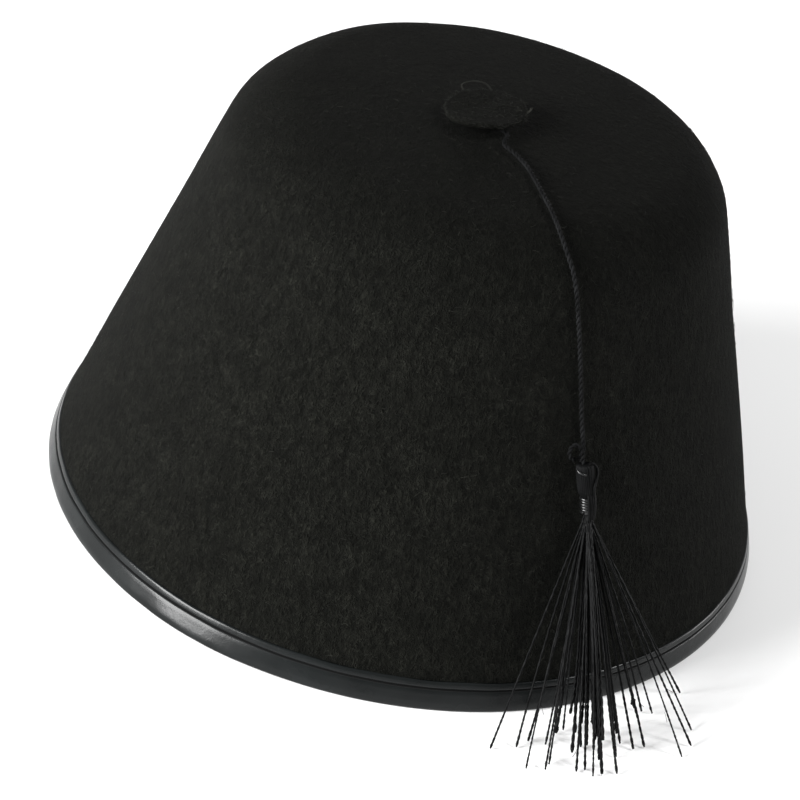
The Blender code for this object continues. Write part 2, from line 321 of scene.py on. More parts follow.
# ---- tools for the pieces ----


def add_piece(name, mesh, finish, stands_for=()):
    """Links a finished mesh as a piece of the hat."""
    mesh.name = name
    mesh.materials.clear()
    mesh.materials.append(finish)
    mesh.shade_smooth()
    piece = bpy.data.objects.new(name, mesh)
    bpy.context.scene.collection.objects.link(piece)
    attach(piece, "root")
    if stands_for:
        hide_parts(*stands_for)
    return piece


def mesh_from(bm, facing=True):
    """The bmesh as a mesh, with its faces turned outwards unless they already are."""
    if facing:
        bmesh.ops.recalc_face_normals(bm, faces=bm.faces)
    mesh = bpy.data.meshes.new("made")
    bm.to_mesh(mesh)
    bm.free()
    return mesh


def turned(profile, steps, closed=False):
    """A bmesh of the (radius, height) profile turned round the Z axis."""
    bm = bmesh.new()
    ring = [bm.verts.new((radius, 0, height)) for radius, height in profile]
    edges = [bm.edges.new(pair) for pair in zip(ring, ring[1:])]
    if closed:
        edges.append(bm.edges.new((ring[-1], ring[0])))
    bmesh.ops.spin(
        bm, geom=ring + edges, cent=(0, 0, 0), axis=(0, 0, 1), angle=math.tau, steps=steps, use_merge=True
    )
    bmesh.ops.remove_doubles(bm, verts=bm.verts, dist=1e-6)
    return bm


def arc(middle, radius, start, end, steps):
    """Points of an arc in the profile's plane. Angles are degrees from outwards towards up."""
    angles = [math.radians(start + (end - start) * i / steps) for i in range(steps + 1)]
    return [(middle[0] + radius * math.cos(a), middle[1] + radius * math.sin(a)) for a in angles]


def smooth_route(route, count):
    """That many points along a Catmull-Rom curve through the route's own, evenly by span."""
    first = tuple(2 * a - b for a, b in zip(route[0], route[1]))
    last = tuple(2 * a - b for a, b in zip(route[-1], route[-2]))
    ends = [first, *route, last]
    spans = len(route) - 1
    points = []
    for i in range(count):
        at = spans * i / (count - 1)
        span = min(int(at), spans - 1)
        t = at - span
        point = []
        for before, start, end, after in zip(*ends[span : span + 4]):
            bend = 2 * before - 5 * start + 4 * end - after
            twist = 3 * start - before - 3 * end + after
            point.append(start + ((end - before) * t + bend * t**2 + twist * t**3) / 2)
        points.append(Vector(point))
    return points


def even_route(points, spacing):
    """The same line with its points that far apart."""
    made = [points[0]]
    left = spacing
    for start, end in zip(points, points[1:]):
        length = (end - start).length
        while left <= length:
            made.append(start.lerp(end, left / length))
            left += spacing
        left -= length
    return made


def tubes(routes, sides=1):
    """A mesh of round tubes along the routes, each a list of (point, radius).

    sides is the bevel's resolution.
    """
    curve = bpy.data.curves.new("tubes", "CURVE")
    curve.dimensions = "3D"
    curve.bevel_depth = 1.0
    curve.bevel_resolution = sides
    curve.use_fill_caps = True
    for route in routes:
        spline = curve.splines.new("POLY")
        spline.points.add(len(route) - 1)
        for point, (place, radius) in zip(spline.points, route):
            point.co = (*place, 1.0)
            point.radius = radius
        spline.use_smooth = True
    guide = bpy.data.objects.new("tubes", curve)
    bpy.context.scene.collection.objects.link(guide)
    bpy.context.view_layer.update()
    graph = bpy.context.evaluated_depsgraph_get()
    mesh = bpy.data.meshes.new_from_object(guide.evaluated_get(graph))
    bpy.data.objects.remove(guide)
    bpy.data.curves.remove(curve)
    return mesh


def joined(meshes):
    """One mesh of all of them."""
    bm = bmesh.new()
    for mesh in meshes:
        bm.from_mesh(mesh)
        bpy.data.meshes.remove(mesh)
    return mesh_from(bm, facing=False)


def frames_along(points):
    """(point, side, up) along the line, with the side and up turned as little as can be."""
    tangent = (points[1] - points[0]).normalized()
    side = tangent.orthogonal().normalized()
    made = []
    for i, point in enumerate(points):
        ahead = points[min(i + 1, len(points) - 1)] - points[max(i - 1, 0)]
        ahead.normalize()
        side = (side - side.dot(ahead) * ahead).normalized()
        made.append((point, side, ahead.cross(side)))
    return made


def plied(points, diameter, turn, fat=0.27, start=0.0, taper=()):
    """The routes of two plies twisted round the line.

    turn is the length of one full turn, and fat is a ply's radius over the whole diameter.
    """
    ply = diameter * fat
    away = diameter / 2 - ply
    routes = []
    for k in range(2):
        along = 0.0
        route = []
        for i, (point, side, up) in enumerate(frames_along(points)):
            if i:
                along += (point - points[i - 1]).length
            angle = start + math.tau * (along / turn + k / 2)
            scale = taper[i] if taper else 1.0
            place = point + (side * math.cos(angle) + up * math.sin(angle)) * away * scale
            route.append((place, ply * scale))
        routes.append(route)
    return routes


# ---- the finishes ----

SHADER_SOCKETS = {
    "roughness": "Roughness",
    "specular": "Specular IOR Level",
    "sheen": "Sheen Weight",
    "sheen_roughness": "Sheen Roughness",
}


class Finish:
    """A procedural material in the making. Each method adds one node, or a few, and gives what comes out."""

    def __init__(self, name):
        self.material = bpy.data.materials.new(name)
        self.material.use_nodes = True
        self.nodes, self.links = self.material.node_tree.nodes, self.material.node_tree.links
        self.shader = self.nodes["Principled BSDF"].inputs

    def set(self, **values):
        """Puts plain numbers on the shader's own sockets."""
        for name, value in values.items():
            self.shader[SHADER_SOCKETS[name]].default_value = value

    def feed(self, socket, value):
        self.links.new(value, self.shader[socket])

    def add(self, kind, vector=None, **values):
        """A node of that kind, with the numbers of its named sockets."""
        made = self.nodes.new(kind)
        for name, value in values.items():
            made.inputs[name.replace("_", " ").title()].default_value = value
        if vector is not None:
            self.links.new(vector, made.inputs["Vector"])
        return made

    def place(self, scale=(1.0, 1.0, 1.0)):
        """Object coordinates, stretched by that scale."""
        place = self.nodes.new("ShaderNodeTexCoord").outputs["Object"]
        return self.add("ShaderNodeMapping", place, scale=scale).outputs["Vector"]

    def noise(self, vector, scale, detail=2.0, rough=0.5, distortion=0.0):
        made = self.add(
            "ShaderNodeTexNoise", vector, scale=scale, detail=detail, roughness=rough, distortion=distortion
        )
        return made.outputs["Fac"]

    def math(self, kind, first, second=0.5):
        made = self.nodes.new("ShaderNodeMath")
        made.operation = kind
        for socket, value in zip(made.inputs, (first, second)):
            if isinstance(value, (int, float)):
                socket.default_value = value
            else:
                self.links.new(value, socket)
        return made.outputs["Value"]

    def ramp(self, value, low, high, to_low=0.0, to_high=1.0):
        made = self.add("ShaderNodeMapRange", from_min=low, from_max=high, to_min=to_low, to_max=to_high)
        self.links.new(value, made.inputs["Value"])
        return made.outputs["Result"]

    def mix(self, factor, first, second):
        """One colour or the other, each a plain one or what comes out of a node."""
        made = self.nodes.new("ShaderNodeMix")
        made.data_type = "RGBA"
        for socket, value in (("A", first), ("B", second)):
            if isinstance(value, tuple):
                made.inputs[socket].default_value = (*value, 1.0)
            else:
                self.links.new(value, made.inputs[socket])
        self.links.new(factor, made.inputs["Factor"])
        return made.outputs["Result"]

    def bump(self, height, distance, strength=1.0, under=None):
        """A normal raised by that height, over another bump if one lies under it."""
        made = self.add("ShaderNodeBump", strength=strength, distance=distance)
        self.links.new(height, made.inputs["Height"])
        if under is not None:
            self.links.new(under, made.inputs["Normal"])
        return made.outputs["Normal"]

    def height(self, vector):
        split = self.nodes.new("ShaderNodeSeparateXYZ")
        self.links.new(vector, split.inputs["Vector"])
        return split.outputs["Z"]

    def lines(self, vector, scale, width, distortion):
        """Fine wandering lines, 1 on the line and 0 away from it."""
        wander = self.noise(vector, scale, distortion=distortion)
        away = self.math("ABSOLUTE", self.math("SUBTRACT", wander, 0.5))
        return self.ramp(away, 0.0, width, 1.0, 0.0)


def scaled(colour, by):
    return tuple(min(c * by, 1.0) for c in colour)


def felt_finish(colours):
    """Needled felt: short fibres, mostly down the wall, over a fine grain, tufts and a soft mottle."""
    felt = Finish("needled_felt")
    down_wall, round_all = felt.place((1.0, 1.0, 0.6)), felt.place()
    fibres = felt.lines(down_wall, scale=560.0, width=0.036, distortion=0.9)
    curls = felt.lines(round_all, scale=330.0, width=0.028, distortion=1.8)
    grain = felt.noise(round_all, 2300.0, detail=3.0, rough=0.75)
    tufts = felt.noise(down_wall, 520.0, detail=4.0, rough=0.75)
    mottle = felt.noise(round_all, 130.0, detail=4.0, rough=0.62)
    lines = felt.math("MAXIMUM", felt.math("MULTIPLY", fibres, 0.8), curls)
    patch = felt.ramp(mottle, 0.34, 0.68, 0.55, 1.12)
    clumps = felt.ramp(tufts, 0.38, 0.66)
    paler = felt.math("MULTIPLY", felt.math("MULTIPLY", lines, grain), patch)
    tufted = felt.math("MULTIPLY", clumps, patch)
    paler = felt.math("ADD", paler, felt.math("MULTIPLY", tufted, 0.3))
    # Painted shade: the paler fibres fade towards the top, which darkens the crown's top and the button.
    painted_top_shade = felt.ramp(felt.height(round_all), *TOP_SHADE_HEIGHTS, 1.0, 0.55)
    paler = felt.math("MULTIPLY", paler, painted_top_shade)
    felt.feed("Base Color", felt.mix(paler, scaled(colours.felt, 0.7), scaled(colours.fibre, 0.92)))
    raised = felt.math("ADD", felt.math("MULTIPLY", lines, 0.5), clumps)
    raised = felt.math("ADD", raised, felt.math("MULTIPLY", grain, 0.5))
    felt.feed("Normal", felt.bump(raised, 0.00065))
    felt.set(roughness=0.95, specular=0.04, sheen=0.005, sheen_roughness=0.5)
    return felt.material


def fibre_finish(colours):
    """A loose wool fibre, paler than the felt it comes out of."""
    fibre = Finish("loose_fibre")
    spread = fibre.ramp(fibre.noise(fibre.place(), 160.0), 0.35, 0.65)
    fibre.feed("Base Color", fibre.mix(spread, scaled(colours.fibre, 0.45), scaled(colours.fibre, 1.05)))
    fibre.set(roughness=0.7, specular=0.15)
    return fibre.material


def vinyl_finish(colours):
    """Soft black vinyl: a fine leather grain, faint pulls, duller handled patches, and painted shade that
    darkens the sewn groove.
    """
    vinyl = Finish("soft_vinyl")
    place = vinyl.place()
    grain = vinyl.noise(place, 2400.0, rough=0.6)
    pulls = vinyl.noise(place, 130.0, detail=3.0, rough=0.55)
    wear = vinyl.noise(place, 45.0, detail=4.0, rough=0.6)
    off_groove = vinyl.math("ABSOLUTE", vinyl.math("SUBTRACT", vinyl.height(place), GROOVE_HEIGHT))
    clear_of_groove_shade = vinyl.ramp(off_groove, 0.00018, 0.00036)
    handled = vinyl.ramp(wear, 0.35, 0.7)
    tone = vinyl.mix(handled, scaled(colours.vinyl, 0.8), scaled(colours.vinyl, 1.5))
    # Painted shade: in the groove the colour drops to 0.15 of the vinyl's, so the recess reads dark.
    vinyl.feed("Base Color", vinyl.mix(clear_of_groove_shade, scaled(colours.vinyl, 0.15), tone))
    dull = vinyl.ramp(clear_of_groove_shade, 0.0, 1.0, 0.75, 0.0)
    vinyl.feed("Roughness", vinyl.math("ADD", vinyl.ramp(wear, 0.3, 0.7, 0.22, 0.3), dull))
    fine = vinyl.bump(grain, 0.00003, strength=0.5)
    vinyl.feed("Normal", vinyl.bump(pulls, 0.0003, strength=0.4, under=fine))
    vinyl.set(specular=0.19)
    return vinyl.material


def thread_finish(colours, name, stripes, slant, rough, gloss, tone=1.0):
    """Twisted thread: fine filaments that run along each ply, on the tube's own map.

    stripes and slant are how often the filaments repeat round the tube and along it.
    """
    thread = Finish(name)
    own_map = thread.nodes.new("ShaderNodeUVMap")
    own_map.uv_map = "UVMap"
    on_tube = thread.add("ShaderNodeMapping", own_map.outputs["UV"], scale=(slant, stripes, 1.0))
    filaments = thread.noise(on_tube.outputs["Vector"], 1.0, detail=3.0, rough=0.6, distortion=0.3)
    vary = thread.ramp(thread.noise(thread.place(), 300.0), 0.3, 0.7, 0.6, 1.2)
    both = thread.ramp(thread.math("MULTIPLY", filaments, vary), 0.3, 0.7)
    dark, pale = scaled(colours.thread, 0.8 * tone), scaled(colours.thread, 3.0 * tone)
    thread.feed("Base Color", thread.mix(both, dark, pale))
    thread.feed("Normal", thread.bump(filaments, 0.00006))
    thread.feed("Roughness", thread.ramp(filaments, 0.3, 0.7, rough, rough + 0.15))
    thread.set(specular=gloss)
    return thread.material


# ---- the stage ----


class FEZ_OT_stage(bpy.types.Operator):
    """Camera, floor and soft studio light."""

    bl_idname = "fez.stage"
    bl_label = "Stage"

    def execute(self, context):
        self.camera(context.scene)
        self.floor(context.scene)
        self.lights(context.scene)
        return {"FINISHED"}

    def camera(self, scene):
        data = bpy.data.cameras.new("camera")
        data.lens = CAMERA_LENS
        data.sensor_width = 36.0
        data.clip_start, data.clip_end = 0.01, 50.0
        camera = bpy.data.objects.new("camera", data)
        scene.collection.objects.link(camera)
        back = direction_to(CAMERA_AZIMUTH, CAMERA_ELEVATION)
        level_right = Vector((math.cos(CAMERA_AZIMUTH), math.sin(CAMERA_AZIMUTH), 0.0))
        right = Quaternion(back, CAMERA_ROLL) @ level_right
        axes = Matrix((right, back.cross(right), back)).transposed()
        camera.matrix_world = Matrix.Translation(CAMERA_TARGET + back * CAMERA_DISTANCE) @ axes.to_4x4()
        scene.camera = camera

    def floor(self, scene):
        bm = bmesh.new()
        bmesh.ops.create_circle(bm, cap_ends=True, segments=96, radius=FLOOR_RADIUS)
        floor = bpy.data.objects.new("floor", mesh_from(bm))
        scene.collection.objects.link(floor)
        pale = Finish("pale_floor")
        colour = scene.fez_colours.floor
        vary = pale.noise(pale.place(), 3.0)
        pale.feed("Base Color", pale.mix(vary, scaled(colour, 0.985), scaled(colour, 1.0)))
        pale.set(roughness=0.9, specular=0.1)
        floor.data.materials.append(pale.material)

    def lights(self, scene):
        for name, azimuth, elevation, distance, size, power in LIGHTS:
            data = bpy.data.lights.new(name, "AREA")
            data.shape = "DISK"
            data.size = size
            data.energy = power
            light = bpy.data.objects.new(name, data)
            scene.collection.objects.link(light)
            back = direction_to(math.radians(azimuth), math.radians(elevation))
            light.location = LIGHTS_AIM + back * distance
            light.rotation_euler = back.to_track_quat("Z", "Y").to_euler()
        world = bpy.data.worlds.new("studio")
        world.use_nodes = True
        background = world.node_tree.nodes["Background"]
        background.inputs["Color"].default_value = (1.0, 1.0, 1.0, 1.0)
        background.inputs["Strength"].default_value = WORLD_STRENGTH
        scene.world = world
        scene.view_settings.view_transform = "Standard"


def direction_to(azimuth, elevation):
    """The unit vector from the hat towards that azimuth, from -Y towards +X, and elevation."""
    level = math.cos(elevation)
    return Vector((math.sin(azimuth) * level, -math.cos(azimuth) * level, math.sin(elevation)))


# ---- the cord and its knot ----


def knot_route():
    """The cord's last stretch: a small loop to the left, then down to the tassel's head."""
    top, down, out = tassel_axis()
    right = out.cross(down).normalized()
    # Millimetres to the right of the tassel's top, down from it and out from it.
    loop = (
        (0.5, -4.2, -1.8), (0.3, -2.5, -1.8), (-0.9, -1.3, -1.7), (-2.6, -1.6, -1.5),
        (-3.7, -3.1, -1.2), (-3.4, -4.7, -0.9), (-2.4, -5.4, -0.6), (-1.2, -4.6, -0.4),
        (-0.5, -2.8, -0.4), (-0.6, -1.3, -0.5), (-0.4, 0.0, -0.4), (-0.3, 1.2, 0.0),
    )
    return [top + (right * a + down * d + out * o) / 1000 for a, d, o in loop]


class FEZ_OT_cord(bpy.types.Operator):
    """The cord of two twisted plies, from under the button, over the shoulder and down to the tassel."""

    bl_idname = "fez.cord"
    bl_label = "Cord"

    def execute(self, context):
        diameter = context.scene.fez_sizes.cord_diameter
        colours = context.scene.fez_colours
        finish = thread_finish(
            colours, "cord_thread", stripes=14.0, slant=90.0, rough=0.6, gloss=0.04, tone=1.35
        )
        on_hat = [on_crown(turn, down, CORD_LIFT) for turn, down in smooth_route(CORD_ROUTE, 240)]
        top, down, out = tassel_axis()
        neck = top + down * (HEAD_LENGTH + TIE_LENGTH)
        tail = [top + down * HEAD_LENGTH * 0.5, neck, neck + down * 0.007]
        # The knot's loop takes over from the route a little above its end.
        whole = smooth_route(on_hat[:-12:8] + knot_route() + tail, 900)
        points = even_route(whole, diameter * 0.25)
        mesh = tubes(plied(points, diameter, CORD_PLY_TURN), sides=2)
        cord = add_piece("twisted_cord", mesh, finish, ("tassel_cord", "cord_knot"))
        cord["line"] = [value for point in points[::3] for value in point]
        return {"FINISHED"}


# ---- the tassel ----


class FEZ_OT_tassel(bpy.types.Operator):
    """The tassel: its head of folded threads, its wrapped neck and its spread strands."""

    bl_idname = "fez.tassel"
    bl_label = "Tassel"

    def execute(self, context):
        sizes, colours = context.scene.fez_sizes, context.scene.fez_colours
        folded = thread_finish(
            colours, "folded_thread", stripes=10.0, slant=60.0, rough=0.42, gloss=0.05, tone=0.7
        )
        loose = thread_finish(
            colours, "tassel_thread", stripes=10.0, slant=60.0, rough=0.42, gloss=0.06, tone=0.8
        )
        bright = thread_finish(colours, "wrapping_thread", stripes=2.0, slant=8.0, rough=0.22, gloss=0.40)
        head = add_piece("folded_head", self.head(), folded, ("tassel_head",))
        tie = add_piece("wrapped_tie", self.tie(), bright, ("tassel_tie",))
        strands = add_piece("tassel_strands", self.strands(sizes), loose, ("tassel_skirt",))
        cord = bpy.data.objects["twisted_cord"]
        del cord["line"]
        return {"FINISHED"}

    def place(self, along, angle, radius, shift=0.0):
        """A point round the tassel's straight axis, turned by that angle from straight out to its right."""
        top, down, out = tassel_axis()
        right = out.cross(down).normalized()
        middle = top + down * along
        return middle + out * math.cos(angle) * radius + right * (math.sin(angle) * radius + shift)

    def head(self):
        """Threads folded over the cord's end: each runs up the side, over the top and into the middle."""
        rng = random.Random(5)
        thread = math.pi * HEAD_RADIUS / HEAD_THREADS
        routes = []
        for i in range(HEAD_THREADS):
            angle = math.tau * i / HEAD_THREADS
            reach = HEAD_RADIUS - thread * rng.uniform(1.2, 1.3)
            sway = rng.uniform(-0.08, 0.08)
            points = []
            for share, wide in HEAD_OUTLINE:
                turn, shift = angle + sway * (1 - share), HEAD_SHIFT * (1 - share)
                points.append(tuple(self.place(HEAD_LENGTH * share, turn, reach * wide, shift)))
            routes.append([(point, thread * 1.3) for point in smooth_route(points, 30)])
        core = []
        for share in (0.1, 0.5, 0.85):
            middle = self.place(HEAD_LENGTH * share, 0.0, 0.0, HEAD_SHIFT * (1 - share))
            core.append((middle, HEAD_RADIUS - thread * 1.6))
        over = [tuple(self.place(along, math.radians(turn), radius)) for along, turn, radius in HEAD_LOOP]
        routes.append([(point, HEAD_LOOP_RADIUS) for point in smooth_route(over, 44)])
        for turn in NECK_THREADS:
            points = []
            for share, out in NECK_LINE:
                along = HEAD_LENGTH + TIE_LENGTH * share
                points.append(tuple(self.place(along, math.radians(turn), TIE_RADIUS + out)))
            routes.append([(point, NECK_THREAD_RADIUS) for point in smooth_route(points, 20)])
        return joined([tubes(routes, sides=2), tubes([core], sides=3)])

    def tie(self):
        """A thread wound tightly round the neck, with one turn of it caught over the head's shoulder."""
        wrap = TIE_LENGTH / TIE_TURNS / 2
        count = round(TIE_TURNS * 24)
        helix = []
        for i in range(count + 1):
            share = i / count
            along = HEAD_LENGTH + wrap + (TIE_LENGTH - 2 * wrap) * share
            place = self.place(along, math.tau * TIE_TURNS * share + 2.0, TIE_RADIUS - wrap * 0.85)
            helix.append((place, wrap * 1.02))
        core = [(self.place(a, 0.0, 0.0), TIE_RADIUS - wrap) for a in (HEAD_LENGTH, HEAD_LENGTH + TIE_LENGTH)]
        over = []
        for along, turn, out in TIE_CATCH:
            over.append(tuple(self.place(along, math.radians(turn), HEAD_RADIUS + out, HEAD_SHIFT)))
        catch = [(point, CATCH_RADIUS) for point in smooth_route(over, 16)]
        return joined([tubes([helix, catch], sides=2), tubes([core], sides=3)])

    def strands(self, sizes):
        """Each thread runs straight from inside the wrapping to its tip on the ground. Some cling."""
        rng = random.Random(11)
        top, down, out = tassel_axis()
        wide = Vector((math.cos(SKIRT_TURN), math.sin(SKIRT_TURN), 0.0))
        deep = Vector((math.sin(SKIRT_TURN), -math.cos(SKIRT_TURN), 0.0))
        neck = top + down * (HEAD_LENGTH + TIE_LENGTH)
        routes = []
        for number, (x, y, count) in enumerate(STRAND_TIPS):
            away = Vector((x, y, 0.0)) - SKIRT_MIDDLE
            spread = wide * away.dot(wide) * 0.045 + out * away.dot(deep) * 0.07
            inside, at_neck = neck - down * 0.001 + spread * 0.5, neck + down * 0.0022 + spread
            for k in range(count):
                thick = sizes.thread_diameter * rng.uniform(0.85, 1.15) * (1.3 if count > 1 else 1.0)
                around = math.radians(137.5) * k
                cling = (wide * math.cos(around) + deep * math.sin(around)) * thick * 0.62 * math.sqrt(k)
                split = (wide * rng.uniform(-1, 1) + deep * rng.uniform(-1, 1)) * (0.0011 if k else 0.0)
                reach = 1.0 if k == 0 else rng.uniform(0.82, 1.0)
                tip = at_neck.lerp(Vector((x, y, thick * 0.6)), reach)
                routes += self.strand(rng, inside, at_neck, tip, thick, cling, split)
            for knotted, share in STRAND_KNOTS:
                if knotted == number:
                    routes.append(self.snarl(rng, at_neck.lerp(Vector((x, y, 0.0006)), share), wide, deep))
        return tubes(routes + self.hairs(rng, neck), sides=1)

    def snarl(self, rng, middle, wide, deep):
        """A thread knotted on itself, as a little dark lump on a strand."""
        route = []
        for step in range(SNARL_STEPS):
            turn = math.tau * step / 7
            place = middle + (wide * math.cos(turn) + Vector((0, 0, 1)) * math.sin(turn)) * SNARL_RADIUS
            place += deep * 0.0001 * math.sin(turn * 0.5 + rng.uniform(-1, 1))
            place.z = max(place.z + (step - 7) * 0.0001, 0.0004)
            route.append((place, SNARL_THREAD))
        return route

    def strand(self, rng, inside, at_neck, tip, thick, cling, split):
        """Two plies from the neck to the tip, a little bowed, that part from the others near the end."""
        bow = Vector((rng.uniform(-1, 1), rng.uniform(-1, 1), rng.uniform(0, 0.6))) * STRAND_BOW
        route = [inside, at_neck + cling * 0.5]
        for share in (0.12, 0.3, 0.5, 0.7, 0.82, 0.92, 1.0):
            parted = max(share - STRAND_PARTING, 0.0) / (1.0 - STRAND_PARTING)
            place = at_neck.lerp(tip, share) + bow * 4 * share * (1 - share)
            route.append(place + cling * (0.5 + 0.5 * share) + split * parted**2)
        for place in route:
            place.z = max(place.z, thick * 0.55)
        points = smooth_route([tuple(p) for p in route], STRAND_STEPS)
        taper = [1.0] * (STRAND_STEPS - len(STRAND_END)) + list(STRAND_END)
        return plied(points, thick, thick * STRAND_TWIST, fat=0.34, start=rng.uniform(0, 6), taper=taper)

    def hairs(self, rng, neck):
        """Fine broken fibres that stand off the strands' lower halves."""
        routes = []
        for _ in range(STRAND_HAIRS):
            x, y, _count = rng.choice(STRAND_TIPS)
            tip = Vector((x, y, 0.0003))
            place = neck.lerp(tip, rng.uniform(0.45, 0.97))
            heading = ((tip - neck).normalized() + random_unit(rng) * 0.45).normalized()
            curl = random_unit(rng) * 0.35
            route = []
            for _step in range(HAIR_STEPS):
                route.append((place.copy(), HAIR_RADIUS))
                place = place + heading * HAIR_STEP
                place.z = max(place.z, 0.0002)
                heading = (heading + curl * 0.35).normalized()
            routes.append(route)
        return routes


def random_unit(rng):
    return Vector((rng.gauss(0, 1), rng.gauss(0, 1), rng.gauss(0, 1))).normalized()


# ---- the crown ----


class FEZ_OT_crown(bpy.types.Operator):
    """The moulded felt crown with its loose fibres."""

    bl_idname = "fez.crown"
    bl_label = "Crown"

    def execute(self, context):
        sizes, colours = context.scene.fez_sizes, context.scene.fez_colours
        add_piece("felt_crown", self.crown(sizes), felt_finish(colours), ("crown",))
        add_piece("crown_fuzz", self.fuzz(sizes.fuzz_count), fibre_finish(colours))
        return {"FINISHED"}

    def crown(self, sizes):
        dome_length, shoulder_length = crown_arcs()[1:]
        downs = [dome_length * i / DOME_STEPS for i in range(DOME_STEPS)]
        downs += [dome_length + shoulder_length * i / SHOULDER_STEPS for i in range(SHOULDER_STEPS)]
        edge, grip = BINDING_THICKNESS + GAP, BINDING_OUTER_HEIGHT + GAP / 2
        start = crown_outline(dome_length + shoulder_length)[1]
        heights = [start + (grip - start) * i / WALL_STEPS for i in range(WALL_STEPS + 1)]
        thick = sizes.felt_thickness
        outside = [crown_outline(down)[:2] for down in downs] + [wall_at(h, 0) for h in heights]
        outside += [wall_at(grip - GAP, -FELT_PRESSED * 0.5), wall_at(grip - GAP * 2, -FELT_PRESSED)]
        outside += [wall_at(edge, -FELT_PRESSED)]
        inside = [crown_outline(down, -thick)[:2] for down in downs] + [wall_at(h, -thick) for h in heights]
        inside += [wall_at(edge, -thick)]
        bm = turned(outside + inside[::-1], CROWN_STEPS)
        bmesh.ops.scale(bm, vec=(1, OVALITY, 1), verts=bm.verts)
        middle = Vector((*BUTTON_CENTRE, 0))
        noise.seed_set(NOISE_SEED)
        for vert in bm.verts:
            low, high = RIM_FADE
            share = min(max((vert.co.z - low) / (high - low), 0.0), 1.0)
            stray = noise.noise_vector(vert.co / UNEVEN_LENGTH) * sizes.felt_unevenness * share
            reach = (Vector((vert.co.x, vert.co.y, 0)) - middle).length / DIMPLE_RADIUS
            if vert.co.z > APEX_HEIGHT - 0.01:
                stray.z -= DIMPLE_DEPTH * math.exp(-(reach**2))
            vert.co += stray
        return mesh_from(bm)

    def fuzz(self, count):
        """Loose fibres that lie on the felt, mostly down the wall."""
        rng = random.Random(3)
        fibres = fibre_shapes()
        total = sum(crown_arcs()[1:]) + FUZZY_WALL
        bm = bmesh.new()
        while count > 0:
            down, turn = rng.uniform(0.0, total), rng.uniform(0.0, 360.0)
            radius, height, slope = crown_outline(down)
            if rng.uniform(0.0, BASE_RADIUS) > radius or height < BINDING_OUTER_HEIGHT:
                continue
            normal = crown_normal(turn, down)
            along = on_crown(turn, down + 0.001, 0.0) - on_crown(turn, down, 0.0)
            steep = math.sin(slope)
            angle = rng.gauss(0.0, 1.2) if rng.random() < steep else rng.uniform(0.0, math.tau)
            along = Quaternion(normal, angle) @ along.normalized()
            if rng.random() < 0.5:
                along.negate()
            lay_fibre(bm, rng, fibres, on_crown(turn, down, -0.00003), along, normal, rng.uniform(0.4, 1.0))
            count -= 1
        clear_shapes(fibres)
        return mesh_from(bm, facing=False)


def fibre_shapes():
    """A few short bent fibres along X, three-sided and pointed, about 2 mm long."""
    rng = random.Random(8)
    shapes = []
    for _ in range(FIBRE_KINDS):
        bm = bmesh.new()
        bmesh.ops.create_circle(bm, cap_ends=True, segments=3, radius=FIBRE_RADIUS)
        bmesh.ops.rotate(bm, cent=(0, 0, 0), matrix=Matrix.Rotation(math.pi / 2, 3, "Y"), verts=bm.verts)
        heading, rise = rng.uniform(-0.5, 0.5), 0.16
        turn = rng.uniform(-0.55, 0.55)
        end = bm.faces[:]
        for _step in range(FIBRE_STEPS):
            made = bmesh.ops.extrude_face_region(bm, geom=end)
            end = [item for item in made["geom"] if isinstance(item, bmesh.types.BMFace)]
            verts = [item for item in made["geom"] if isinstance(item, bmesh.types.BMVert)]
            move = Vector((math.cos(heading), math.sin(heading), rise)) * FIBRE_STEP
            bmesh.ops.translate(bm, vec=move, verts=verts)
            heading += turn
            rise -= 0.08
        tip = sum((v.co for v in verts), Vector()) / len(verts)
        bmesh.ops.pointmerge(bm, verts=verts, merge_co=tip)
        shapes.append(mesh_from(bm))
    return shapes


def clear_shapes(shapes):
    for shape in shapes:
        bpy.data.meshes.remove(shape)


def lay_fibre(bm, rng, fibres, place, along, normal, scale, lift=0.0):
    """Adds one fibre to the bmesh, lying along that direction, its end raised by lift in radians."""
    along = (Quaternion(along.cross(normal), lift) @ along).normalized()
    side = normal.cross(along).normalized()
    axes = Matrix((along, side, along.cross(side))).transposed().to_4x4()
    shape = rng.choice(fibres).copy()
    shape.transform(Matrix.Translation(place) @ axes @ Matrix.Diagonal((scale, scale, scale, 1.0)))
    bm.from_mesh(shape)
    bpy.data.meshes.remove(shape)


# ---- the edge binding ----


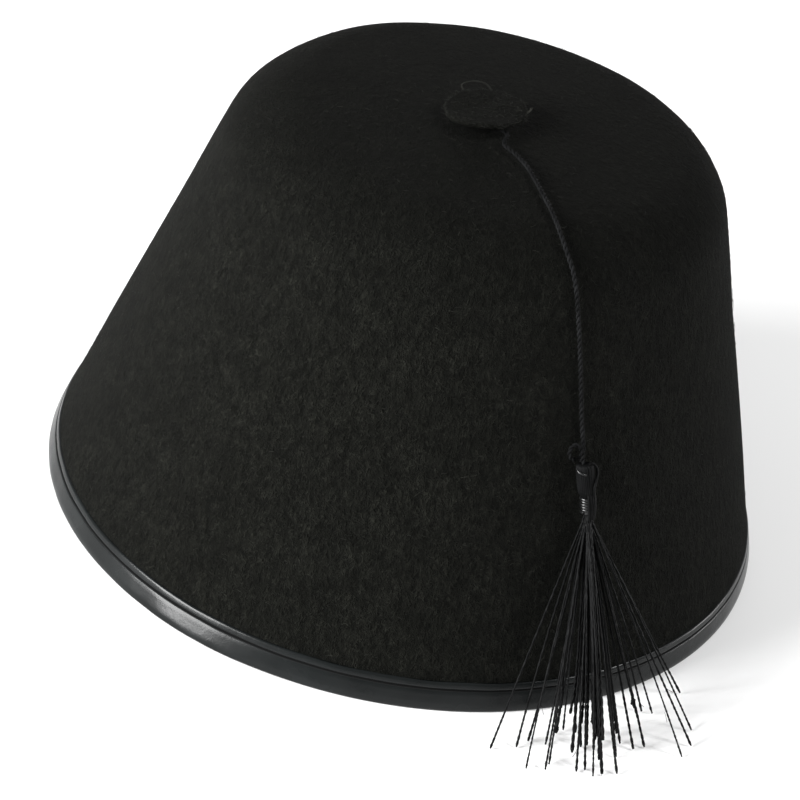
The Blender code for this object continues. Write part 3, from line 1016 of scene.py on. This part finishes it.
class FEZ_OT_binding(bpy.types.Operator):
    """The folded vinyl strip round the edge, with a fine groove under its lip."""

    bl_idname = "fez.binding"
    bl_label = "Edge binding"

    def execute(self, context):
        sizes, colours = context.scene.fez_sizes, context.scene.fez_colours
        add_piece("vinyl_binding", self.strip(sizes), vinyl_finish(colours), ("edge_binding",))
        return {"FINISHED"}

    def section(self, sizes):
        """The strip's section as (out from the wall's line, height) points."""
        thick = BINDING_THICKNESS
        felt_outside = GAP - FELT_PRESSED
        inner = -sizes.felt_thickness - GAP
        face = felt_outside + thick
        top, groove, half = BINDING_OUTER_HEIGHT, GROOVE_HEIGHT, thick / 2
        points = arc((felt_outside + half, top - half), half, 180.0, 20.0, 7)
        for below, sunk in LIP_AND_GROOVE:
            points.append((face - GROOVE_DEPTH * sunk, groove - below))
        fold = BINDING_FOLD_HEIGHT
        points += [(face, fold * 1.3)]
        for out, height in arc((0.0, 0.0), 1.0, 0.0, -90.0, 8):
            points.append((felt_outside + thick * out, fold * (1 + height)))
        points += arc((inner - thick + 0.0006, 0.0006), 0.0006, -90.0, -180.0, 4)
        points += [(inner - thick, BINDING_INNER_HEIGHT * 0.5)]
        points += arc((inner - half, BINDING_INNER_HEIGHT - half), half, 180.0, 0.0, 6)
        points += [(inner, thick), (felt_outside, thick)]
        return points

    def strip(self, sizes):
        profile = [wall_at(height, out) for out, height in self.section(sizes)]
        bm = turned(profile, BINDING_STEPS, closed=True)
        for vert in bm.verts:
            around = Vector((vert.co.x, vert.co.y, 0)).normalized()
            height = vert.co.z
            lip = max(height - GROOVE_HEIGHT, 0.0) / (BINDING_OUTER_HEIGHT - GROOVE_HEIGHT)
            vert.co.z += lip * LIP_WAVE * noise.noise(around * 9.0 + Vector((0, 0, 4.0)))
            proud = vert.co.xy.length - wall_at(height, -FELT_PRESSED * 0.5)[0]
            if proud > 0 and height > 0.0003:
                turn, spread, flare = BINDING_FLARE
                off = math.degrees(math.atan2(around.x, -around.y)) - turn
                flare *= math.exp(-((off / spread) ** 2)) * max(1.0 - height / GROOVE_HEIGHT, 0.0)
                wave = FACE_WAVE * noise.noise(around * 12.0 + Vector((0, 0, height * 150.0)))
                vert.co += around * (flare + wave)
        bmesh.ops.scale(bm, vec=(1, OVALITY, 1), verts=bm.verts)
        return mesh_from(bm)


# ---- the button ----


class FEZ_OT_button(bpy.types.Operator):
    """The felt button on the crown's top, with the fuzz of its cut edge."""

    bl_idname = "fez.button"
    bl_label = "Button"

    def execute(self, context):
        colours = context.scene.fez_colours
        add_piece("felt_button", self.disc(), felt_finish(colours), ("top_button",))
        add_piece("button_fuzz", self.fuzz(), fibre_finish(colours))
        return {"FINISHED"}

    def hand_cut(self, place):
        """Where a point of an even disc lies on this one: stretched, curled up at its edge and sloping."""
        angle = math.atan2(place.x, -place.y)
        share = min(place.xy.length / BUTTON_RADIUS, 1.0)
        curl = (0.0005 * math.cos(angle - 0.4) ** 2 + 0.0002 * math.sin(3 * angle + 1.0)) * share**2
        ragged = 1.0 + 0.025 * share * noise.noise(Vector((math.sin(angle), math.cos(angle), 0.3)) * 2.4)
        flat = place.xy * ragged
        along, across = BUTTON_LONG_WAY.dot(flat), BUTTON_LONG_WAY.orthogonal().dot(flat)
        flat += BUTTON_LONG_WAY * along * BUTTON_STRETCH[0]
        flat += BUTTON_LONG_WAY.orthogonal() * across * BUTTON_STRETCH[1]
        return Vector((*flat, place.z + curl + BUTTON_SLOPE.dot(flat)))

    def disc(self):
        under = APEX_HEIGHT + BUTTON_LIFT
        top = under + BUTTON_THICKNESS
        edge = BUTTON_THICKNESS / 2
        rim = arc((BUTTON_RADIUS - edge, (under + top) / 2), edge, 90.0, -90.0, 8)
        upper = [(BUTTON_RADIUS * share, top) for share in (0.0, 0.15, 0.3, 0.45, 0.6, 0.75, 0.86)]
        lower = [(BUTTON_RADIUS * share, under) for share in (0.8, 0.6, 0.4)]
        foot = [(BUTTON_FOOT_RADIUS, under - GAP)]
        foot += [(BUTTON_FOOT_RADIUS * 0.9, APEX_HEIGHT - 0.0002), (0, APEX_HEIGHT - 0.0002)]
        bm = turned(upper + rim + lower + foot, BUTTON_STEPS)
        noise.seed_set(NOISE_SEED)
        for vert in bm.verts:
            if vert.co.z > under - 0.0001:
                vert.co = self.hand_cut(vert.co) + noise.noise_vector(vert.co * 420.0) * 0.00022
        bmesh.ops.translate(bm, vec=(*BUTTON_CENTRE, 0.0), verts=bm.verts)
        return mesh_from(bm)

    def fuzz(self):
        """The fibres that stand off the cut edge, those that lie on the top, and a few longer wisps."""
        rng = random.Random(21)
        fibres = fibre_shapes()
        bm = bmesh.new()
        middle = Vector((*BUTTON_CENTRE, APEX_HEIGHT + BUTTON_LIFT + BUTTON_THICKNESS / 2))
        edge = BUTTON_THICKNESS / 2
        for _ in range(EDGE_FIBRES):
            angle = rng.uniform(0.0, math.tau)
            around = Vector((math.sin(angle), -math.cos(angle), 0.0))
            tilt = rng.uniform(-0.2, 1.1)
            normal = (around * math.cos(tilt) + Vector((0, 0, 1)) * math.sin(tilt)).normalized()
            place = middle + self.hand_cut(around * (BUTTON_RADIUS - edge) + normal * edge * 0.95)
            along = around.cross(normal) * rng.choice((-1, 1)) + around * rng.uniform(-0.2, 0.6)
            along = (along - along.dot(normal) * normal).normalized()
            scale, lift = rng.uniform(0.3, 0.9), rng.uniform(0.0, 0.7)
            lay_fibre(bm, rng, fibres, place, along, normal, scale, lift)
        for _ in range(TOP_FIBRES):
            angle, reach = rng.uniform(0.0, math.tau), BUTTON_RADIUS * math.sqrt(rng.uniform(0.0, 0.8))
            place = middle + self.hand_cut(Vector((math.sin(angle) * reach, -math.cos(angle) * reach, edge)))
            along = Quaternion((0, 0, 1), rng.uniform(0, math.tau)) @ Vector((1, 0, 0))
            lay_fibre(bm, rng, fibres, place, along, Vector((0, 0, 1)), rng.uniform(0.4, 1.1))
        clear_shapes(fibres)
        routes = []
        for wisp in BUTTON_WISPS:
            for _ in range(WISP_HAIRS):
                stray = random_unit(rng) * WISP_SPREAD
                points = smooth_route([tuple(middle + Vector(point) + stray) for point in wisp], 16)
                routes.append([(point + random_unit(rng) * 0.00003, 0.00006) for point in points])
        return joined([mesh_from(bm, facing=False), tubes(routes)])


class FEZ_PT_panel(bpy.types.Panel):
    """Lists the pieces of the hat, with the sizes and colours that they take."""

    bl_idname = "FEZ_PT_panel"
    bl_label = "Fez Hat"
    bl_space_type = "VIEW_3D"
    bl_region_type = "UI"
    bl_category = "Fez"

    def draw(self, context):
        for group in (context.scene.fez_sizes, context.scene.fez_colours):
            box = self.layout.box()
            for name in group.__annotations__:
                box.prop(group, name)
        for operator in PIECES:
            self.layout.operator(operator.bl_idname)


PIECES = (FEZ_OT_stage, FEZ_OT_cord, FEZ_OT_tassel, FEZ_OT_crown, FEZ_OT_binding, FEZ_OT_button)
CLASSES = (FezSizes, FezColours, *PIECES, FEZ_PT_panel)


def register():
    for item in CLASSES:
        bpy.utils.register_class(item)
    bpy.types.Scene.fez_sizes = PointerProperty(type=FezSizes)
    bpy.types.Scene.fez_colours = PointerProperty(type=FezColours)


def unregister():
    del bpy.types.Scene.fez_colours
    del bpy.types.Scene.fez_sizes
    for item in reversed(CLASSES):
        bpy.utils.unregister_class(item)


def main():
    register()
    bpy.ops.fez.stage()
    bpy.ops.fez.cord()
    bpy.ops.fez.tassel()
    bpy.ops.fez.crown()
    bpy.ops.fez.binding()
    bpy.ops.fez.button()


if __name__ == "__main__":
    main()
